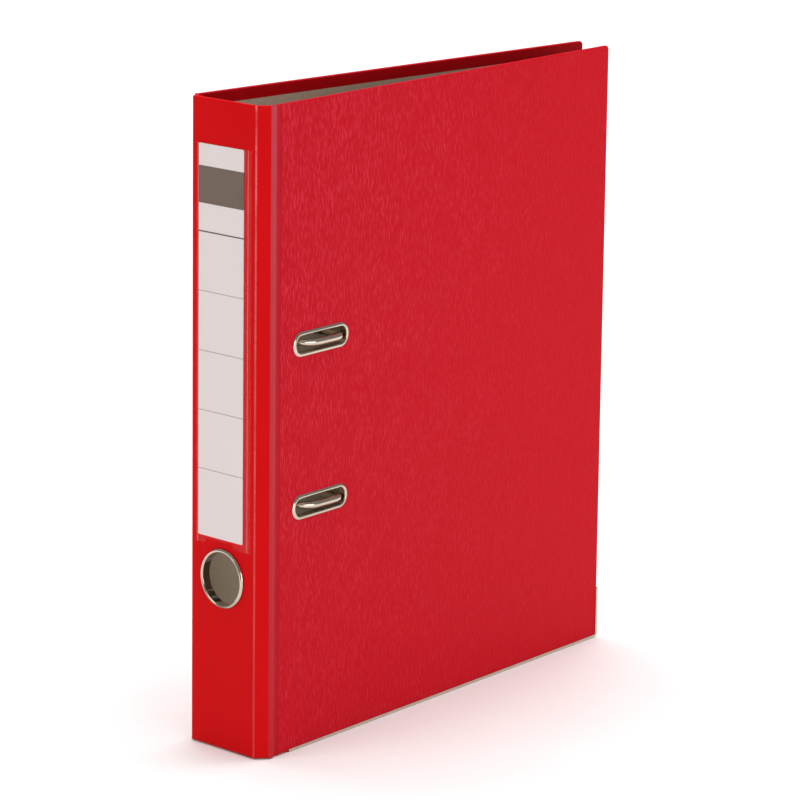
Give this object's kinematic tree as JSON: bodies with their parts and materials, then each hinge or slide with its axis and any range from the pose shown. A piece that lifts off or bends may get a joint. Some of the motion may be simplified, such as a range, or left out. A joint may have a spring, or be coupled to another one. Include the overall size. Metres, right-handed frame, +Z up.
{
  "type": "lever arch file",
  "caption": "Upright A4 office file: a hinged board case with a lever arch ring mechanism, thumb ring, metal-lined cover slots, edge protectors and a label pocket.",
  "frame": {"origin": "centre of the bounding box's foot: the plane that the closed file stands on, midway across its thickness and its depth", "axes": "+Z up along the spine's height, -Y out of the spine, +X out of the front cover's side"},
  "size_m": [0.0608, 0.287, 0.318],
  "materials": {
    "red_cover_film": "leather-grain embossed red film, smooth on the spine",
    "grey_board": "raw grey board",
    "lining_paper": "matt grey-beige lining paper",
    "nickelled_steel": "bright nickel plate on pressed and drawn steel",
    "clear_pocket_film": "clear glossy film",
    "label_card_stock": "matt printed card",
    "roller_nylon": "satin moulded nylon"
  },
  "bodies": {
    "back_cover": {"back_cover_film": "red_cover_film", "back_cover_board": "grey_board", "back_cover_lining": "lining_paper", "back_edge_protector": "nickelled_steel", "mechanism_base_plate": "nickelled_steel", "mechanism_rivet_1": "nickelled_steel", "mechanism_rivet_2": "nickelled_steel", "mechanism_rivet_3": "nickelled_steel", "mechanism_rivet_4": "nickelled_steel", "post_lower": "nickelled_steel", "post_upper": "nickelled_steel", "lever_pivot_pin": "nickelled_steel"},
    "back_strip": {"back_strip_film": "red_cover_film", "back_strip_board": "grey_board", "back_strip_lining": "lining_paper"},
    "spine": {"spine_film": "red_cover_film", "spine_board": "grey_board", "spine_lining": "lining_paper", "thumb_ring": "nickelled_steel", "thumb_ring_washer": "nickelled_steel", "label_pocket": "clear_pocket_film", "label_card": "label_card_stock"},
    "front_strip": {"front_strip_film": "red_cover_film", "front_strip_board": "grey_board", "front_strip_lining": "lining_paper"},
    "front_cover": {"front_cover_film": "red_cover_film", "front_cover_board": "grey_board", "front_cover_lining": "lining_paper", "front_edge_protector": "nickelled_steel", "slot_eyelet_lower": "nickelled_steel", "slot_eyelet_upper": "nickelled_steel"},
    "arches": {"arch_wire": "nickelled_steel"},
    "lever": {"lever": "nickelled_steel", "roller_pin": "nickelled_steel"},
    "roller": {"lever_roller": "roller_nylon"}
  },
  "joints": [
    {"name": "back_cover_crease", "type": "hinge", "parent": "back_cover", "child": "back_strip", "pos_m": [-0.02314, -0.13582, 0], "axis": [0, 0, -1], "range_deg": [0, 37.4]},
    {"name": "back_spine_crease", "type": "hinge", "parent": "back_strip", "child": "spine", "pos_m": [-0.01827, -0.14187, 0], "axis": [0, 0, -1], "range_deg": [0, 51.2]},
    {"name": "front_spine_crease", "type": "hinge", "parent": "spine", "child": "front_strip", "pos_m": [0.02553, -0.14187, 0], "axis": [0, 0, -1], "range_deg": [0, 51.2]},
    {"name": "front_cover_crease", "type": "hinge", "parent": "front_strip", "child": "front_cover", "pos_m": [0.0304, -0.13582, 0], "axis": [0, 0, -1], "range_deg": [0, 46.5]},
    {"name": "lever_pivot", "type": "hinge", "parent": "back_cover", "child": "lever", "pos_m": [-0.0093, -0.08196, 0.1608], "axis": [0, 0, 1], "range_deg": [0, 44]},
    {"name": "arch_pivot", "type": "hinge", "parent": "back_cover", "child": "arches", "pos_m": [-0.01794, -0.09668, 0.1608], "axis": [0, 0, -1], "range_deg": [0, 40]},
    {"name": "roller_spin", "type": "hinge", "parent": "lever", "child": "roller", "pos_m": [-0.01273, -0.08905, 0.1608], "axis": [0, 0, 1], "continuous": true}
  ],
  "couplings": [
    {"joint": "back_cover_crease", "follows": "back_spine_crease", "ratio": 0.73046},
    {"joint": "front_cover_crease", "follows": "front_spine_crease", "ratio": 0.9082},
    {"joint": "arch_pivot", "follows": "lever_pivot", "ratio": 0.909}
  ]
}
